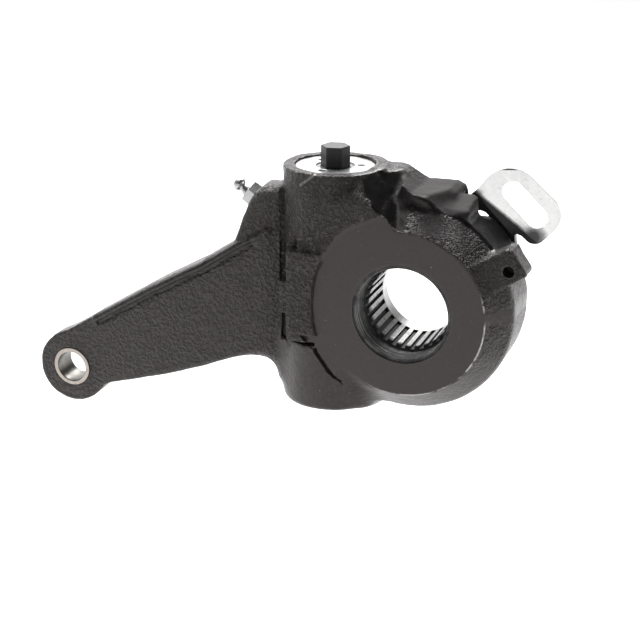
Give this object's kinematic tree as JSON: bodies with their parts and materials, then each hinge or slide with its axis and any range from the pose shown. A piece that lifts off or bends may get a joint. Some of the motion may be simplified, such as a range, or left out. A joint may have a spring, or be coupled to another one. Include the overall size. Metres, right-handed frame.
{
  "type": "brake slack adjuster",
  "caption": "Automatic brake slack adjuster: cast lever with a bushed clevis eye, splined worm wheel, hexagon-ended worm, zinc control arm and grease nipple.",
  "frame": {"origin": "on the axis of the splined bore, in the lever's middle plane", "axes": "+Y along the splined bore, away from the plain machined face; +Z along the worm towards its hexagon; the lever runs to -X"},
  "size_m": [0.2368, 0.0524, 0.1319],
  "materials": {
    "black_paint": "semi-gloss black paint over a rough casting",
    "machined_steel": "turned and broached steel, lightly oiled",
    "dark_steel": "black phosphate",
    "zinc": "bright zinc plating",
    "zinc_dull": "dull zinc plating",
    "bush_metal": "sintered bronze, machined",
    "rubber": "matt",
    "spring_steel": "drawn wire"
  },
  "bodies": {
    "root": {"housing": "black_paint", "wheel_front_oring": "rubber", "clevis_bush": "bush_metal", "top_cover": "zinc", "hex_seal": "rubber", "bottom_plug": "black_paint", "clutch_spring": "spring_steel", "spring_seat": "dark_steel", "thrust_washer_lower": "machined_steel", "rear_cover": "zinc_dull", "cover_gasket": "rubber", "cover_screws": "zinc_dull", "rack_plug": "zinc_dull", "rack_spring": "spring_steel", "grease_nipple": "zinc", "nipple_spring": "spring_steel"},
    "wheel": {"worm_wheel": "machined_steel", "wheel_rear_oring": "rubber"},
    "worm": {"worm_shaft": "dark_steel", "thrust_washer_upper": "machined_steel", "thrust_rollers": "machined_steel", "coupling_cone": "machined_steel"},
    "clutch": {"clutch_gear": "machined_steel", "wrap_spring": "spring_steel"},
    "rack": {"rack": "dark_steel"},
    "control": {"control_disc": "zinc_dull", "control_arm": "zinc", "control_rivets": "zinc_dull"},
    "ball": {"nipple_ball": "machined_steel"}
  },
  "joints": [
    {"name": "wheel_turn", "type": "hinge", "parent": "root", "child": "wheel", "pos_m": [0, 0, 0], "axis": [0, 1, 0], "continuous": true},
    {"name": "worm_turn", "type": "hinge", "parent": "root", "child": "worm", "pos_m": [-0.0368, 0.003, 0], "axis": [0, 0, 1], "continuous": true},
    {"name": "control_arm_swing", "type": "hinge", "parent": "root", "child": "control", "pos_m": [0, 0, 0], "axis": [0, 1, 0], "range_deg": [-10, 16]},
    {"name": "rack_slide", "type": "slide", "parent": "root", "child": "rack", "axis": [1, 0, 0], "range_m": [-0.0056, 0.0088], "deforming": ["rack_spring"]},
    {"name": "clutch_gear_turn", "type": "hinge", "parent": "root", "child": "clutch", "pos_m": [-0.0368, 0.003, 0], "axis": [0, 0, 1], "range_deg": [-57, 37]},
    {"name": "nipple_ball_press", "type": "slide", "parent": "root", "child": "ball", "axis": [0.8387, 0, -0.5446], "range_m": [0, 0.0008], "stiffness_N_per_m": 50, "springref_m": -0.0008, "deforming": ["nipple_spring"]}
  ],
  "couplings": [
    {"joint": "worm_turn", "follows": "wheel_turn", "ratio": -28},
    {"joint": "rack_slide", "follows": "control_arm_swing", "m_per_rad": 0.031},
    {"joint": "clutch_gear_turn", "follows": "control_arm_swing", "ratio": -3.4444}
  ]
}
